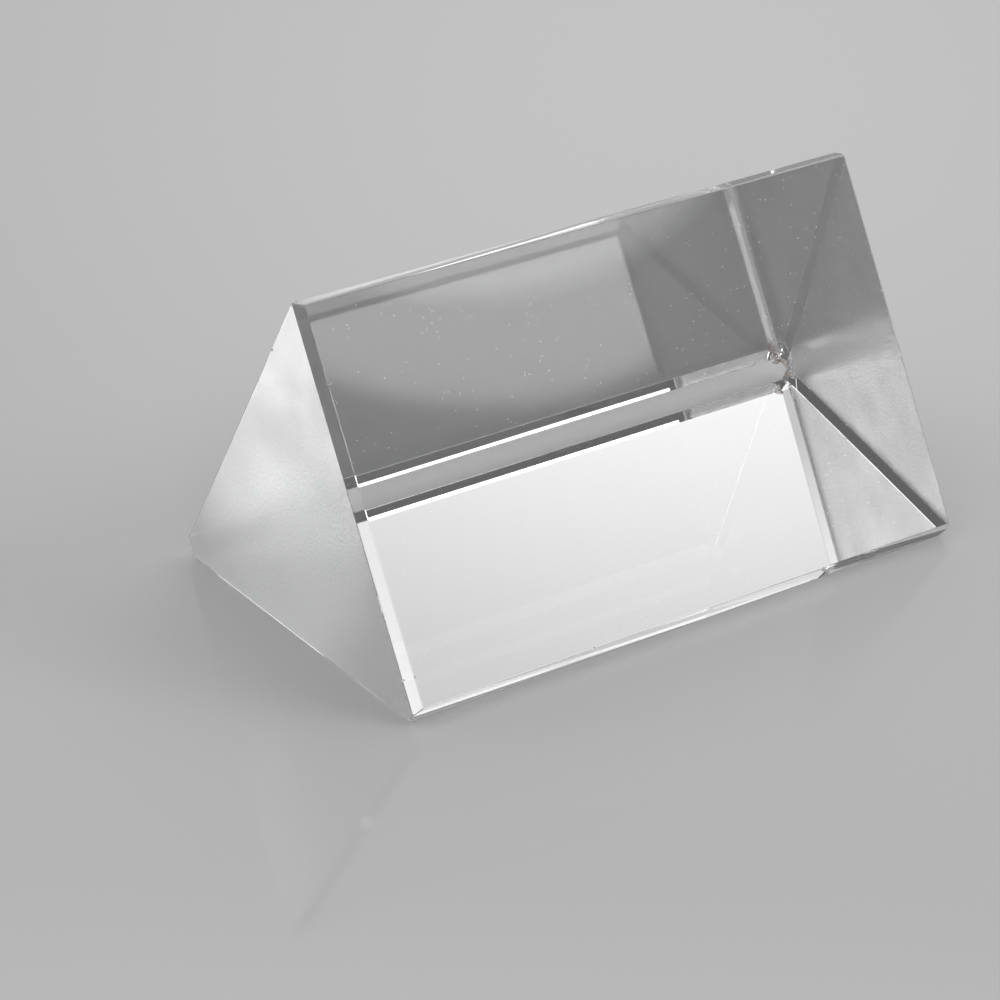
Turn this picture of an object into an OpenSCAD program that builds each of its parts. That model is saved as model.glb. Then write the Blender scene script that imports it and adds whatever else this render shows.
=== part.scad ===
// Equilateral glass prism with bevelled edges, lying on one of its long faces.
// Millimetres, +Z up. The origin is the centre of the footprint, on the resting
// plane. The length runs along X, the front face looks towards -Y and the top
// edge is the highest line of the part.

/* [Glass body] */
// Length from one end face to the other
length = 50; // [20:1:150]
// Width of the base face, measured between its sharp corners
base_w = 31.4; // [16:0.2:60]
// Angle between the two sloping faces
apex_angle = 60; // [45:1:90]

/* [Bevels along the long edges] */
// Width of the bevel along the top edge
top_bevel = 0.6; // [0.2:0.1:2]
// Width of the bevel along the bottom front edge
front_bevel = 1.6; // [0.2:0.1:3]
// Width of the bevel along the bottom back edge
back_bevel = 1.75; // [0.25:0.05:3]

/* [Bevels round the left end] */
// Width of the bevel between the left end and the front face
left_front_bevel = 0.9; // [0.1:0.1:2]
// Width of the bevel between the left end and the back face
left_back_bevel = 0.2; // [0.1:0.1:2]
// Width of the bevel between the left end and the base
left_base_bevel = 0.2; // [0.1:0.1:2]

/* [Bevels round the right end] */
// Width of the bevel between the right end and the front face
right_front_bevel = 0.6; // [0.1:0.1:2]
// Width of the bevel between the right end and the back face
right_back_bevel = 0.8; // [0.1:0.1:2]
// Width of the bevel between the right end and the base
right_base_bevel = 0.6; // [0.1:0.1:2]

/* [Hidden] */

base_angle = (180 - apex_angle) / 2;
height = base_w / 2 * tan(base_angle);

// Sharp corners of the section, as [across, up]
front_corner = [-base_w / 2, 0];
back_corner = [base_w / 2, 0];
top_corner = [0, height];

// How far a bevel reaches along the two faces that meet at a corner
front_leg = corner_leg(front_bevel, base_angle);
back_leg = corner_leg(back_bevel, base_angle);
top_leg = corner_leg(top_bevel, apex_angle);

// The unequal bottom bevels leave the footprint off the section's centre line
footprint_shift = (back_leg - front_leg) * cos(base_angle) / 2;

function corner_leg(bevel, angle) = bevel / (2 * sin(angle / 2));
function toward(from, to, distance) = from + (to - from) * distance / norm(to - from);
function middle(a, b) = (a + b) / 2;

// The triangle with each corner cut square to its bisector
module section() {
    polygon([
        toward(front_corner, top_corner, front_leg),
        toward(front_corner, back_corner, front_leg),
        toward(back_corner, front_corner, back_leg),
        toward(back_corner, top_corner, back_leg),
        toward(top_corner, back_corner, top_leg),
        toward(top_corner, front_corner, top_leg),
    ]);
}

// What one bevel takes off an edge of the right end face.
// The edge runs through edge_middle, and the long face beside it looks
// towards face_angle, counted from +Y up towards +Z.
module edge_grind(edge_middle, face_angle, bevel) {
    reach = base_w;
    translate([length / 2, edge_middle[0], edge_middle[1]])
        rotate([face_angle, 0, 0])
            rotate([0, 0, 45])
                translate([-bevel / 2, -reach, -reach])
                    cube([reach, 2 * reach, 2 * reach]);
}

// The three bevels round the right end face
module end_grind(front, back, base) {
    edge_grind(middle(front_corner, top_corner), 90 + base_angle, front);
    edge_grind(middle(back_corner, top_corner), 90 - base_angle, back);
    edge_grind(middle(front_corner, back_corner), -90, base);
}

module prism() {
    color([0.86, 0.9, 0.9, 0.45])
        translate([0, footprint_shift, 0])
            difference() {
                rotate([90, 0, 90])
                    linear_extrude(height = length, center = true)
                        section();
                end_grind(right_front_bevel, right_back_bevel, right_base_bevel);
                mirror([1, 0, 0])
                    end_grind(left_front_bevel, left_back_bevel, left_base_bevel);
            }
}

prism();
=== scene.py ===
"""Equilateral glass prism with ground ends and bevelled, chipped edges, on a pale studio floor."""

import math
import random

import bmesh
import bpy
from bpy.props import FloatProperty, FloatVectorProperty, IntProperty, PointerProperty
from mathutils import Euler, Matrix, Vector


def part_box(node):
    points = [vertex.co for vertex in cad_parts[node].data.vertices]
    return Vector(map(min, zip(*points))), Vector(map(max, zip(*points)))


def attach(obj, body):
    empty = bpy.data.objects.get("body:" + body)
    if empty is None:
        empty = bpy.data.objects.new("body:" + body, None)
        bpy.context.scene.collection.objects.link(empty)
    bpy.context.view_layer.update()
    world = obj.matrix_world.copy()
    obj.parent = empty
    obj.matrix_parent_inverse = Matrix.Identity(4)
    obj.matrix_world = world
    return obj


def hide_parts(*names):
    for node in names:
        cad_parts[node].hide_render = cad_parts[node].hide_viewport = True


bl_info = {
    "name": "Glass Prism",
    "version": (1, 0, 0),
    "blender": (4, 5, 0),
    "location": "3D View > Sidebar > Prism",
    "description": "Builds a ground and polished glass prism and the studio it stands in",
    "category": "Object",
}

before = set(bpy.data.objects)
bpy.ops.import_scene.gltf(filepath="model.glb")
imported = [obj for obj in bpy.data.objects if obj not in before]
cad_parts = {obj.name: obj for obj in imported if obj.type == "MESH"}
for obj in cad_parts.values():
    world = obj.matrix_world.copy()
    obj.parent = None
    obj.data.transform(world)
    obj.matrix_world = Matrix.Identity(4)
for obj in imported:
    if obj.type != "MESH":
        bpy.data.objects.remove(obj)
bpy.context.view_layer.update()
LOW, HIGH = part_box("prism")

# Material slots of the piece, in the order of its materials
POLISHED, GROUND, BEVELLED, BROKEN, SOILED = range(5)


# ---------------------------------------------------------------- settings

def length_property(name, description, default, smallest=0.0, largest=1.0, precision=5):
    """A size in metres that the panel shows as a length."""
    return FloatProperty(name=name, description=description, default=default, min=smallest,
                         max=largest, precision=precision, subtype="DISTANCE", unit="LENGTH")


def angle_property(name, description, degrees, smallest=40.0, largest=80.0):
    """An angle that is given in degrees and kept in radians."""
    return FloatProperty(name=name, description=description, default=math.radians(degrees),
                         min=math.radians(smallest), max=math.radians(largest),
                         subtype="ANGLE", unit="ROTATION")


def share_property(name, description, default):
    """A share from none to all."""
    return FloatProperty(name=name, description=description, default=default, min=0.0, max=1.0,
                         subtype="FACTOR")


def colour_property(name, description, default):
    """A linear colour that the panel shows as a swatch."""
    return FloatVectorProperty(name=name, description=description, default=default, size=3,
                               min=0.0, max=1.0, subtype="COLOR")


class PrismGlassSettings(bpy.types.PropertyGroup):
    """Sizes and finishes of the prism itself."""

    length: length_property("Length", "From one ground end to the other", HIGH.x - LOW.x)
    width: length_property("Width", "Across the resting face, over its bevels", HIGH.y - LOW.y)
    front_angle: angle_property("Front angle", "Between the base and the front face", 59.0)
    back_angle: angle_property("Back angle", "Between the base and the back face", 60.8)
    top_bevel: length_property("Top bevel", "Along the top edge", 0.0009)
    front_bevel: length_property("Front bevel", "Along the bottom front edge", 0.0016)
    back_bevel: length_property("Back bevel", "Along the bottom back edge", 0.00175)
    left_front_bevel: length_property(
        "Left front bevel", "Between the left end and the front face", 0.0009)
    left_back_bevel: length_property(
        "Left back bevel", "Between the left end and the back face", 0.0002)
    left_base_bevel: length_property(
        "Left base bevel", "Between the left end and the base", 0.0002)
    right_front_bevel: length_property(
        "Right front bevel", "Between the right end and the front face", 0.0006)
    right_back_bevel: length_property(
        "Right back bevel", "Between the right end and the back face", 0.0008)
    right_base_bevel: length_property(
        "Right base bevel", "Between the right end and the base", 0.00088)
    upper_lean: angle_property(
        "Upper lean", "Turns the upper part of the back bevel upwards", 2.2, 0.0, 5.0)
    lower_lean: angle_property(
        "Lower lean", "Turns the lower part of the back bevel upwards", 0.5, 0.0, 5.0)
    hairline: length_property(
        "Hairline", "Rounding left on every edge by the last rub", 0.00004)
    nicks: IntProperty(name="Nicks", description="Small chips scattered along the edges",
                       default=34, min=0, max=200)
    chip_seed: IntProperty(name="Chip seed", description="Picks another set of chips", default=7)
    refractive_index: FloatProperty(name="Refractive index", description="Of crown optical glass",
                                    default=1.5168, min=1.3, max=2.0, precision=4)
    tint: colour_property("Tint", "Colour of the glass over one crossing", (0.985, 0.987, 0.988))
    ground_roughness: share_property(
        "Ground roughness", "How far a ground face scatters light", 0.35)
    bevel_roughness: share_property(
        "Bevel roughness", "How far a bevel scatters light", 0.02)


class PrismStageSettings(bpy.types.PropertyGroup):
    """The floor, the light and the camera."""

    floor_size: length_property("Floor size", "Side of the square floor", 6.0,
                                smallest=0.5, largest=20.0, precision=3)
    floor_colour: colour_property("Floor colour", "Paint of the floor", (0.52, 0.52, 0.525))
    light_level: FloatProperty(name="Light level", description="Brightness of the whole surround",
                               default=1.0, min=0.0, max=10.0)
    lens: FloatProperty(name="Lens", description="Focal length on a 36 mm sensor",
                        default=134.426, min=10.0, max=400.0, unit="CAMERA")
    camera_place: FloatVectorProperty(name="Camera place", description="Where the camera stands",
                                      size=3, default=(-0.15362, -0.19419, 0.13665),
                                      subtype="TRANSLATION", unit="LENGTH")


# ---------------------------------------------------------------- node helpers

def new_material(name):
    """An empty node material with its output node."""
    material = bpy.data.materials.new(name)
    material.use_nodes = True
    tree = material.node_tree
    tree.nodes.clear()
    return material, tree, tree.nodes.new("ShaderNodeOutputMaterial")


def add_node(tree, kind, **values):
    """A node with some of its inputs or settings given by name."""
    node = tree.nodes.new(kind)
    for key, value in values.items():
        name = key.replace("_", " ").title()
        if name in node.inputs:
            node.inputs[name].default_value = value
        else:
            setattr(node, key, value)
    return node


def pair_up(tree, operation, first, second):
    """The sum, product or larger one of two values."""
    node = add_node(tree, "ShaderNodeMath", operation=operation)
    tree.links.new(first, node.inputs[0])
    tree.links.new(second, node.inputs[1])
    return node.outputs["Value"]


def spread_out(tree, value, span, result, **options):
    """A value moved from one span to another and held inside it."""
    node = add_node(tree, "ShaderNodeMapRange", **options)
    for socket, number in zip(node.inputs[1:5], (*span, *result)):
        socket.default_value = number
    tree.links.new(value, node.inputs["Value"])
    return node.outputs["Result"]


def noise(tree, place, scale, detail=4.0):
    """A soft noise of that scale."""
    node = add_node(tree, "ShaderNodeTexNoise", scale=scale, detail=detail)
    tree.links.new(place, node.inputs["Vector"])
    return node.outputs["Fac"]


def from_noise(tree, place, scale, low, high, at=(0.35, 0.65)):
    """A soft noise of that scale, stretched between two values."""
    return spread_out(tree, noise(tree, place, scale), at, (low, high))


# ---------------------------------------------------------------- glass finishes

# Cells per metre along each axis, turn, reach in a cell, and roughness of each kind of mark:
# fine dust, coarser dust, long scratches and short ones
MARKS = (
    ((3000, 3000, 3000), (0.3, 0.2, 0.1), 0.085, 0.36),
    ((600, 600, 600), (0.1, 0.5, 0.9), 0.035, 0.3),
    ((25, 500, 500), (0.0, 0.03, 0.07), 0.03, 0.2),
    ((90, 900, 900), (0.1, -0.2, -0.5), 0.03, 0.15),
)
# Share of a mark's reach that has its full strength
MARK_CORE = 0.6

# How far the roughness of a ground face varies, and the scale and depth of its grain
HAZE_VARIATION = 0.05
GRAIN_SCALE, GRAIN_DEPTH = 4200.0, 0.00002

# Ridges where a chip came off, and what has settled on the soiled ones
RIDGE_SCALE, RIDGE_DEPTH = 4000.0, 0.00004
SOIL_COLOUR = (0.32, 0.22, 0.16)


def glass_material(name, settings):
    """Clear glass, with what a finish is built on: tree, shader and place on the piece."""
    material, tree, output = new_material(name)
    shader = tree.nodes.new("ShaderNodeBsdfPrincipled")
    shader.inputs["Base Color"].default_value = (*settings.tint, 1)
    shader.inputs["Transmission Weight"].default_value = 1.0
    shader.inputs["IOR"].default_value = settings.refractive_index
    tree.links.new(shader.outputs["BSDF"], output.inputs["Surface"])
    place = tree.nodes.new("ShaderNodeTexCoord").outputs["Object"]
    return material, tree, shader, place


def unevenness(tree, shader, height, depth):
    """Fine relief of that depth in metres, which turns the light and not the outline."""
    bump = add_node(tree, "ShaderNodeBump", strength=1.0, distance=depth)
    tree.links.new(height, bump.inputs["Height"])
    tree.links.new(bump.outputs["Normal"], shader.inputs["Normal"])


def specks(tree, place, stretch, turn, reach, strength):
    """Separate specks, or scratches if stretched, as a value from none to that strength."""
    mapping = tree.nodes.new("ShaderNodeMapping")
    mapping.inputs["Rotation"].default_value = turn
    mapping.inputs["Scale"].default_value = stretch
    tree.links.new(place, mapping.inputs["Vector"])
    cells = add_node(tree, "ShaderNodeTexVoronoi", scale=1.0)
    tree.links.new(mapping.outputs["Vector"], cells.inputs["Vector"])
    return spread_out(tree, cells.outputs["Distance"], (reach * MARK_CORE, reach), (strength, 0.0))


def polished_glass(settings):
    """Clear polish with dust specks and a few fine scratches, thicker in some places."""
    material, tree, shader, place = glass_material("polished_glass", settings)
    total, *others = [specks(tree, place, *mark) for mark in MARKS]
    for other in others:
        total = pair_up(tree, "MAXIMUM", total, other)
    total = pair_up(tree, "MULTIPLY", total, from_noise(tree, place, 400.0, 0.5, 1.0))
    tree.links.new(total, shader.inputs["Roughness"])
    return material


def ground_glass(settings):
    """Loose-grit finish: a haze in faint patches and a fine grain."""
    material, tree, shader, place = glass_material("ground_end_glass", settings)
    haze = from_noise(tree, place, 260.0, settings.ground_roughness - HAZE_VARIATION,
                      settings.ground_roughness + HAZE_VARIATION)
    tree.links.new(haze, shader.inputs["Roughness"])
    unevenness(tree, shader, noise(tree, place, GRAIN_SCALE, detail=3.0), GRAIN_DEPTH)
    return material


def bevel_glass(settings):
    """Polish that is rubbed a little along the edges."""
    material, tree, shader, place = glass_material("bevel_glass", settings)
    rubbed = from_noise(tree, place, 900.0, 0.0, settings.bevel_roughness * 2, at=(0.45, 0.7))
    tree.links.new(rubbed, shader.inputs["Roughness"])
    return material


def broken_glass(settings, name, colour):
    """Where a chip came off: ridged, a little hazy, and soiled if the colour is."""
    material, tree, shader, place = glass_material(name, settings)
    stain = tree.nodes.new("ShaderNodeMix")
    stain.data_type = "RGBA"
    stain.inputs["A"].default_value = (*colour, 1)
    stain.inputs["B"].default_value = (*settings.tint, 1)
    tree.links.new(from_noise(tree, place, 2500.0, 0.0, 0.7), stain.inputs["Factor"])
    tree.links.new(stain.outputs["Result"], shader.inputs["Base Color"])
    tree.links.new(from_noise(tree, place, 3000.0, 0.1, 0.4), shader.inputs["Roughness"])
    unevenness(tree, shader, noise(tree, place, RIDGE_SCALE, detail=2.0), RIDGE_DEPTH)
    return material


# ---------------------------------------------------------------- glass body

# How far the ridge of the two-faced back bevel lies off its middle, as a share of its width
RIDGE_OFFSET = 0.2

# Facets at one corner, the spread of their directions, and the depths they are ground to
CORNER_FACETS, CORNER_SPREAD = 1, 0.15
SOILED_FACETS, SOILED_SPREAD = 4, 0.5
CORNER_DEPTHS = (0.00008, 0.00016)
CORNER_SIZE = 0.004

# A nick's size is the smallest plus a share of the range, with few that are large
NICK_SMALLEST, NICK_RANGE, NICK_BIAS = 0.00005, 0.00016, 3
# Chips crowd round a point this high above the floor at the soiled corner, and no further off
SOILED_CHIPS, SOILED_HEIGHT, SOILED_REACH, SOILED_SCATTER = 6, 0.0008, 0.0022, 0.0005
SOILED_SIZES = (0.0001, 0.00022)
# Least distance between two chips, as a multiple of the sum of their sizes
NICK_SPACING, SOILED_SPACING = 3, 1.8
MOST_TRIES = 4000
# Edges that turn by less than this many radians don't chip
SHARP = 0.1


def bevel_leg(bevel, angle):
    """How far a bevel of that width reaches along the two faces that meet at an angle."""
    return bevel / (2 * math.sin(angle / 2))


def grind_off(bm, point, normal, finish):
    """Cuts away what stands past a plane and closes the cut with a face of that finish."""
    geometry = bm.verts[:] + bm.edges[:] + bm.faces[:]
    bmesh.ops.bisect_plane(bm, geom=geometry, dist=1e-8, plane_co=point, plane_no=normal,
                           clear_outer=True)
    rim = [edge for edge in bm.edges if edge.is_boundary]
    if not rim:
        raise RuntimeError("a bevel misses the glass")
    for face in bmesh.ops.edgeloop_fill(bm, edges=rim)["faces"]:
        face.material_index = finish


def triangular_bar(settings):
    """The sharp-cornered bar that the bevels are cut on, lying along X, and its three corners."""
    front_slope, back_slope = math.tan(settings.front_angle), math.tan(settings.back_angle)
    front_leg = bevel_leg(settings.front_bevel, settings.front_angle)
    back_leg = bevel_leg(settings.back_bevel, settings.back_angle)
    front_reach = front_leg * math.cos(settings.front_angle)
    back_reach = back_leg * math.cos(settings.back_angle)
    base = settings.width + front_reach + back_reach
    height = base * front_slope * back_slope / (front_slope + back_slope)
    shift = (back_reach - front_reach) / 2
    bm = bmesh.new()
    bmesh.ops.create_cone(bm, cap_ends=True, cap_tris=False, segments=3, radius1=1.0,
                          radius2=1.0, depth=settings.length)
    bmesh.ops.rotate(bm, cent=(0, 0, 0), verts=bm.verts,
                     matrix=Matrix.Rotation(math.pi / 2, 3, "Y"))
    highest = max(bm.verts, key=lambda vert: vert.co.z).co
    upright = math.pi / 2 - math.atan2(highest.z, highest.y)
    bmesh.ops.rotate(bm, cent=(0, 0, 0), verts=bm.verts,
                     matrix=Matrix.Rotation(upright, 3, "X"))
    bmesh.ops.scale(bm, vec=(1, base / math.sqrt(3), height / 1.5), verts=bm.verts)
    bmesh.ops.translate(bm, vec=(0, shift, height / 3), verts=bm.verts)
    crest = height / front_slope - base / 2
    top_verts = [vert for vert in bm.verts if vert.co.z > height / 2]
    bmesh.ops.translate(bm, vec=(0, crest, 0), verts=top_verts)
    bmesh.ops.recalc_face_normals(bm, faces=bm.faces)
    for face in bm.faces:
        face.material_index = GROUND if abs(face.normal.x) > 0.9 else POLISHED
    front = Vector((0, shift - base / 2, 0))
    back = Vector((0, shift + base / 2, 0))
    top = Vector((0, shift + crest, height))
    return bm, (front, back, top)


def cut_bevels(bm, corners, settings):
    """The three long bevels, of which the back one has two faces, then three round each end."""
    front, back, top = corners
    middle = (front + back + top) / 3
    top_angle = math.pi - settings.front_angle - settings.back_angle
    long_bevels = ((front, settings.front_angle, settings.front_bevel, (back, top)),
                   (back, settings.back_angle, settings.back_bevel, (front, top)),
                   (top, top_angle, settings.top_bevel, (front, back)))
    for corner, angle, bevel, others in long_bevels:
        inward = sum(((other - corner).normalized() for other in others), Vector())
        outward = -inward.normalized()
        ridge = corner - outward * bevel / (2 * math.tan(angle / 2))
        leans = (0.0,)
        if corner is back:
            ridge += RIDGE_OFFSET * bevel * Vector((0, -outward.z, outward.y))
            leans = (settings.upper_lean, settings.lower_lean)
        for lean in leans:
            grind_off(bm, ridge, Matrix.Rotation(lean, 3, "X") @ outward, BEVELLED)
    end_edges = ((front, top), (back, top), (front, back))
    ends = ((-1, settings.left_front_bevel, settings.left_back_bevel, settings.left_base_bevel),
            (1, settings.right_front_bevel, settings.right_back_bevel, settings.right_base_bevel))
    for side, *bevels in ends:
        for (start, end), bevel in zip(end_edges, bevels):
            foot = (start + end) / 2
            along = (end - start).normalized()
            face_out = (foot - middle) - (foot - middle).dot(along) * along
            outward = (face_out.normalized() + Vector((side, 0, 0))).normalized()
            foot = foot + Vector((side * settings.length / 2, 0, 0))
            grind_off(bm, foot - outward * bevel / 2, outward, BEVELLED)


def scatter(dice, spread):
    """A random offset of up to that spread each way."""
    return Vector([dice.uniform(-spread, spread) for _ in range(3)])


def blunt_corners(bm, corners, settings, dice):
    """Knocks a facet off each of the six corners, and several off the soiled one at the back."""
    middle = sum(corners, Vector()) / 3
    for side in (-1, 1):
        for corner in corners:
            tip = corner + Vector((side * settings.length / 2, 0, 0))
            finish, facets, spread = BROKEN, CORNER_FACETS, CORNER_SPREAD
            if side > 0 and corner is corners[1]:
                finish, facets, spread = SOILED, SOILED_FACETS, SOILED_SPREAD
            for _ in range(facets):
                normal = (corner - middle).normalized() + Vector((side, 0, 0))
                normal = (normal.normalized() + scatter(dice, spread)).normalized()
                reach = max(vert.co.dot(normal) for vert in bm.verts
                            if (vert.co - tip).length < CORNER_SIZE)
                grind_off(bm, normal * (reach - dice.uniform(*CORNER_DEPTHS)), normal, finish)


def jagged_lumps(edges, settings, dice):
    """Small uneven lumps along the edges, each the shape of the chip that came off there."""
    bm = bmesh.new()
    soiled_end = Vector((settings.length / 2, settings.width / 2, SOILED_HEIGHT))
    spots = []
    weights = [(end - start).length for start, end in edges]
    tries = 0
    while len(spots) < settings.nicks + SOILED_CHIPS:
        tries += 1
        if tries > MOST_TRIES:
            raise RuntimeError("the edges are too short for so many chips")
        soiled = len(spots) >= settings.nicks
        start, end = dice.choices(edges, weights)[0]
        if soiled:
            size = dice.uniform(*SOILED_SIZES)
        else:
            size = NICK_SMALLEST + NICK_RANGE * dice.random() ** NICK_BIAS
        spot = start.lerp(end, dice.random())
        if soiled:
            spot = min((start, end), key=lambda point: (point - soiled_end).length)
            spot = spot + scatter(dice, SOILED_SCATTER)
            if (spot - soiled_end).length > SOILED_REACH:
                continue
        spacing = SOILED_SPACING if soiled else NICK_SPACING
        if any((spot - other).length < spacing * (size + reach) for other, reach in spots):
            continue
        spots.append((spot, size))
        lump = bmesh.ops.create_icosphere(bm, subdivisions=2, radius=size)["verts"]
        for vert in lump:
            vert.co *= dice.uniform(0.82, 1.15)
        stretch = (dice.uniform(1.0, 2.4), dice.uniform(0.7, 1.1), dice.uniform(0.7, 1.1))
        bmesh.ops.scale(bm, vec=stretch, verts=lump)
        bmesh.ops.rotate(bm, cent=(0, 0, 0), verts=lump,
                         matrix=Euler(scatter(dice, 0.6)).to_matrix())
        bmesh.ops.translate(bm, vec=spot, verts=lump)
        for face in {face for vert in lump for face in vert.link_faces}:
            face.material_index = SOILED if soiled else BROKEN
    return bm


def take_out(piece, lumps, materials):
    """Cuts the lumps out of the piece and bakes the result into its mesh."""
    mesh = bpy.data.meshes.new("lumps")
    lumps.to_mesh(mesh)
    lumps.free()
    for material in materials:
        mesh.materials.append(material)
    cutter = bpy.data.objects.new("lumps", mesh)
    bpy.context.scene.collection.objects.link(cutter)
    cut = piece.modifiers.new("chips", "BOOLEAN")
    cut.operation, cut.solver, cut.object = "DIFFERENCE", "EXACT", cutter
    cut.material_mode, cut.use_self = "INDEX", True
    chipped = piece.evaluated_get(bpy.context.evaluated_depsgraph_get())
    finished = bpy.data.meshes.new_from_object(chipped)
    piece.modifiers.remove(cut)
    bpy.data.objects.remove(cutter)
    bpy.data.meshes.remove(mesh)
    whole, piece.data = piece.data, finished
    bpy.data.meshes.remove(whole)
    finished.name = "glass_prism"


class PRISM_OT_glass_body(bpy.types.Operator):
    """Build the glass bar with its ground ends, bevels and chips in place of the plain solid"""

    bl_idname = "prism.glass_body"
    bl_label = "Glass body"

    def execute(self, context):
        settings = context.scene.prism_glass
        dice = random.Random(settings.chip_seed)
        bm, corners = triangular_bar(settings)
        cut_bevels(bm, corners, settings)
        sharp_edges = [tuple(vert.co.copy() for vert in edge.verts)
                       for edge in bm.edges if edge.calc_face_angle() > SHARP]
        bmesh.ops.bevel(bm, geom=bm.edges[:], offset=settings.hairline, offset_type="OFFSET",
                        segments=2, profile=0.5, affect="EDGES", material=BEVELLED)
        blunt_corners(bm, corners, settings, dice)
        bmesh.ops.recalc_face_normals(bm, faces=bm.faces)
        mesh = bpy.data.meshes.new("glass_prism")
        bm.to_mesh(mesh)
        bm.free()
        materials = (polished_glass(settings), ground_glass(settings), bevel_glass(settings),
                     broken_glass(settings, "broken_glass", settings.tint),
                     broken_glass(settings, "soiled_break", SOIL_COLOUR))
        for material in materials:
            mesh.materials.append(material)
        piece = bpy.data.objects.new("glass_prism", mesh)
        context.scene.collection.objects.link(piece)
        take_out(piece, jagged_lumps(sharp_edges, settings, dice), materials)
        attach(piece, "root")
        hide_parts("prism")
        return {"FINISHED"}


# ---------------------------------------------------------------- stage

# Elevation in degrees and brightness of the surround there
RING = ((0, 0.12), (34, 0.12), (40, 1.25), (60, 1.25), (70, 0.4), (90, 0.25))

# Azimuth from +X towards +Y, elevation, half width, half height, brightness and edge softness
# of each window in the surround
WINDOWS = (
    (55, 28.5, 34, 15, 0.5, 0.3),
    (50, 24, 15, 10, 0.52, 0.9),
    (310.0, 35.1, 6.9, 9.85, 2.4, 0.06),
    (322.5, 26.5, 8.0, 13, 4.8, 0.3),
    (140, 32, 36, 12.5, 0.78, 0.3),
    (0, 52, 20, 18, 0.3, 0.3),
    (24, 17.5, 9, 6, 0.8, 0.4),
    (248, 32, 5.0, 6.0, 6.0, 0.3),
)

FLOOR_ROUGHNESS = 0.06
# Keeps the floor just clear of the face that rests on it
FLOOR_GAP = 0.00005

# What points right, down and ahead in the camera's view
CAMERA_RIGHT = Vector((0.80703625, -0.58981996, 0.02837095))
CAMERA_DOWN = Vector((-0.25907998, -0.39684873, -0.88056155))
CAMERA_AHEAD = Vector((0.53063176, 0.70329475, -0.47308185))
# Width of the sensor in mm, and the nearest and furthest that the camera sees in metres
CAMERA_SENSOR = 36.0
CAMERA_CLIP = (0.01, 30.0)

# Light is followed through this many crossings of the glass, and this many reflections
GLASS_CROSSINGS, REFLECTIONS = 24, 16


def soft_window(tree, direction, azimuth, elevation, half_width, half_height, level, softness):
    """A bright oval with soft edges in the surround, its centre and half sizes in degrees."""
    turn = Euler((0, -math.radians(elevation), math.radians(azimuth)))
    half_size = (1, math.radians(half_width), math.radians(half_height))
    mapping = tree.nodes.new("ShaderNodeMapping")
    mapping.vector_type = "TEXTURE"
    mapping.inputs["Location"].default_value = turn.to_matrix() @ Vector((1, 0, 0))
    mapping.inputs["Rotation"].default_value = turn
    mapping.inputs["Scale"].default_value = half_size
    tree.links.new(direction, mapping.inputs["Vector"])
    oval = add_node(tree, "ShaderNodeTexGradient", gradient_type="SPHERICAL")
    tree.links.new(mapping.outputs["Vector"], oval.inputs["Vector"])
    return spread_out(tree, oval.outputs["Fac"], (0.0, softness), (0.0, level),
                      interpolation_type="SMOOTHSTEP")


def studio_world(strength):
    """A soft ring of light all round, dim overhead and near the horizon, with bright windows."""
    world = bpy.data.worlds.new("studio_surround")
    world.use_nodes = True
    tree = world.node_tree
    direction = tree.nodes.new("ShaderNodeTexCoord").outputs["Generated"]
    split = tree.nodes.new("ShaderNodeSeparateXYZ")
    tree.links.new(direction, split.inputs["Vector"])
    ring = tree.nodes.new("ShaderNodeValToRGB")
    while len(ring.color_ramp.elements) < len(RING):
        ring.color_ramp.elements.new(1.0)
    for element, (elevation, level) in zip(ring.color_ramp.elements, RING):
        element.position = math.sin(math.radians(elevation))
        element.color = (level, level, level, 1)
    tree.links.new(split.outputs["Z"], ring.inputs["Fac"])
    total = ring.outputs["Color"]
    for window in WINDOWS:
        total = pair_up(tree, "ADD", total, soft_window(tree, direction, *window))
    background = tree.nodes["Background"]
    tree.links.new(total, background.inputs["Color"])
    background.inputs["Strength"].default_value = strength
    return world


def lay_floor(scene, settings):
    """A square, glossy floor under the prism."""
    bm = bmesh.new()
    bmesh.ops.create_grid(bm, x_segments=1, y_segments=1, size=settings.floor_size / 2)
    bmesh.ops.translate(bm, vec=(0, 0, -FLOOR_GAP), verts=bm.verts)
    mesh = bpy.data.meshes.new("studio_floor")
    bm.to_mesh(mesh)
    bm.free()
    floor = bpy.data.objects.new("studio_floor", mesh)
    scene.collection.objects.link(floor)
    material, tree, output = new_material("pale_floor")
    shader = add_node(tree, "ShaderNodeBsdfPrincipled", base_color=(*settings.floor_colour, 1),
                      roughness=FLOOR_ROUGHNESS)
    tree.links.new(shader.outputs["BSDF"], output.inputs["Surface"])
    mesh.materials.append(material)


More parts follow.
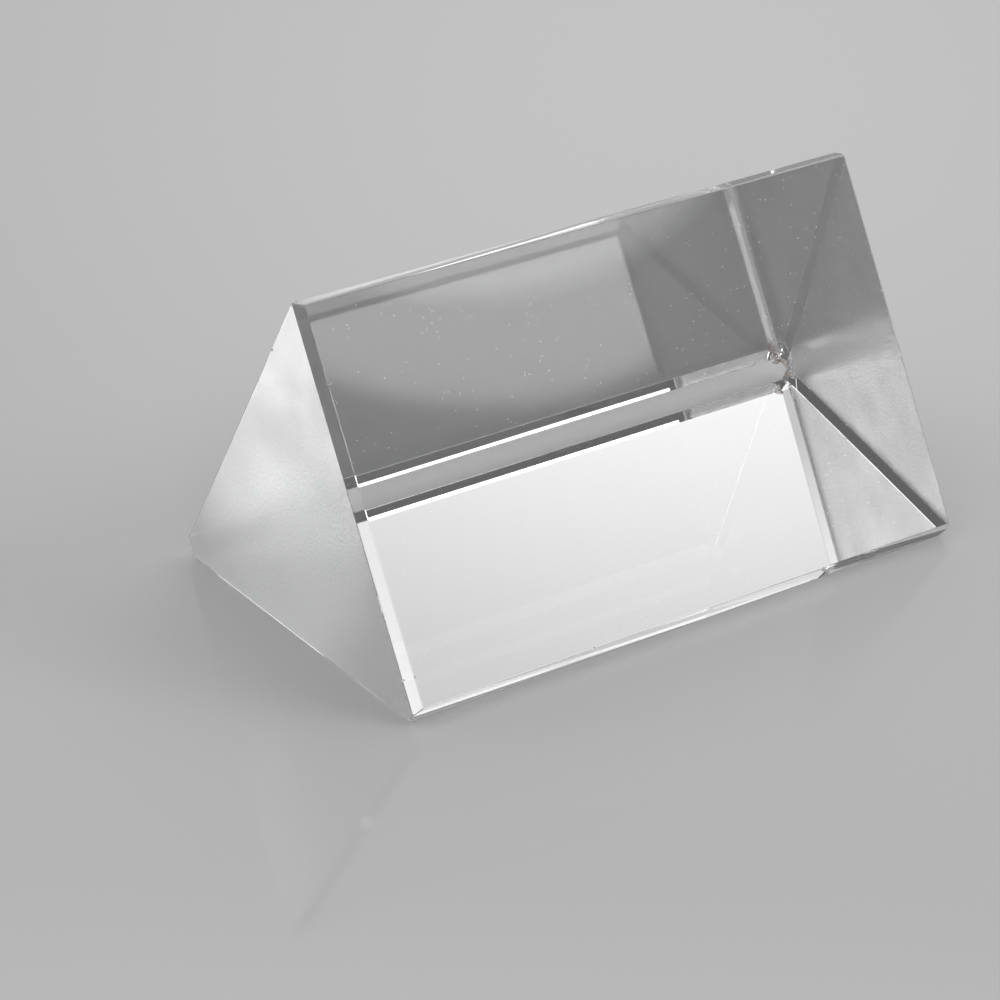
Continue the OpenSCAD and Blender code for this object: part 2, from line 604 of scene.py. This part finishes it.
def set_camera(scene, settings):
    """A camera that looks down at the prism from its front left."""
    camera = bpy.data.cameras.new("camera")
    camera.sensor_width, camera.lens = CAMERA_SENSOR, settings.lens
    camera.clip_start, camera.clip_end = CAMERA_CLIP
    holder = bpy.data.objects.new("camera", camera)
    turn = Matrix((CAMERA_RIGHT, -CAMERA_DOWN, -CAMERA_AHEAD)).transposed().to_4x4()
    holder.matrix_world = Matrix.Translation(settings.camera_place) @ turn
    scene.collection.objects.link(holder)
    scene.camera = holder


class PRISM_OT_stage(bpy.types.Operator):
    """Lay the floor, light it softly from all round and set the camera"""

    bl_idname = "prism.stage"
    bl_label = "Stage"

    def execute(self, context):
        settings = context.scene.prism_stage
        scene = context.scene
        lay_floor(scene, settings)
        scene.world = studio_world(settings.light_level)
        scene.view_settings.view_transform = "Standard"
        scene.cycles.max_bounces = GLASS_CROSSINGS
        scene.cycles.transmission_bounces = GLASS_CROSSINGS
        scene.cycles.glossy_bounces = REFLECTIONS
        set_camera(scene, settings)
        return {"FINISHED"}


# ---------------------------------------------------------------- add-on

class PRISM_PT_pieces(bpy.types.Panel):
    """Lists the sizes and the pieces."""

    bl_label = "Glass Prism"
    bl_idname = "PRISM_PT_pieces"
    bl_space_type = "VIEW_3D"
    bl_region_type = "UI"
    bl_category = "Prism"

    def draw(self, context):
        layout = self.layout
        for group in (context.scene.prism_glass, context.scene.prism_stage):
            column = layout.column()
            for name in group.__annotations__:
                column.prop(group, name)
        for operator in OPERATORS:
            layout.operator(operator.bl_idname)


OPERATORS = (PRISM_OT_glass_body, PRISM_OT_stage)
CLASSES = (PrismGlassSettings, PrismStageSettings, *OPERATORS, PRISM_PT_pieces)


def register():
    for cls in CLASSES:
        bpy.utils.register_class(cls)
    bpy.types.Scene.prism_glass = PointerProperty(type=PrismGlassSettings)
    bpy.types.Scene.prism_stage = PointerProperty(type=PrismStageSettings)


def unregister():
    del bpy.types.Scene.prism_stage
    del bpy.types.Scene.prism_glass
    for cls in reversed(CLASSES):
        bpy.utils.unregister_class(cls)


def main():
    register()
    bpy.ops.prism.glass_body()
    bpy.ops.prism.stage()


if __name__ == "__main__":
    main()
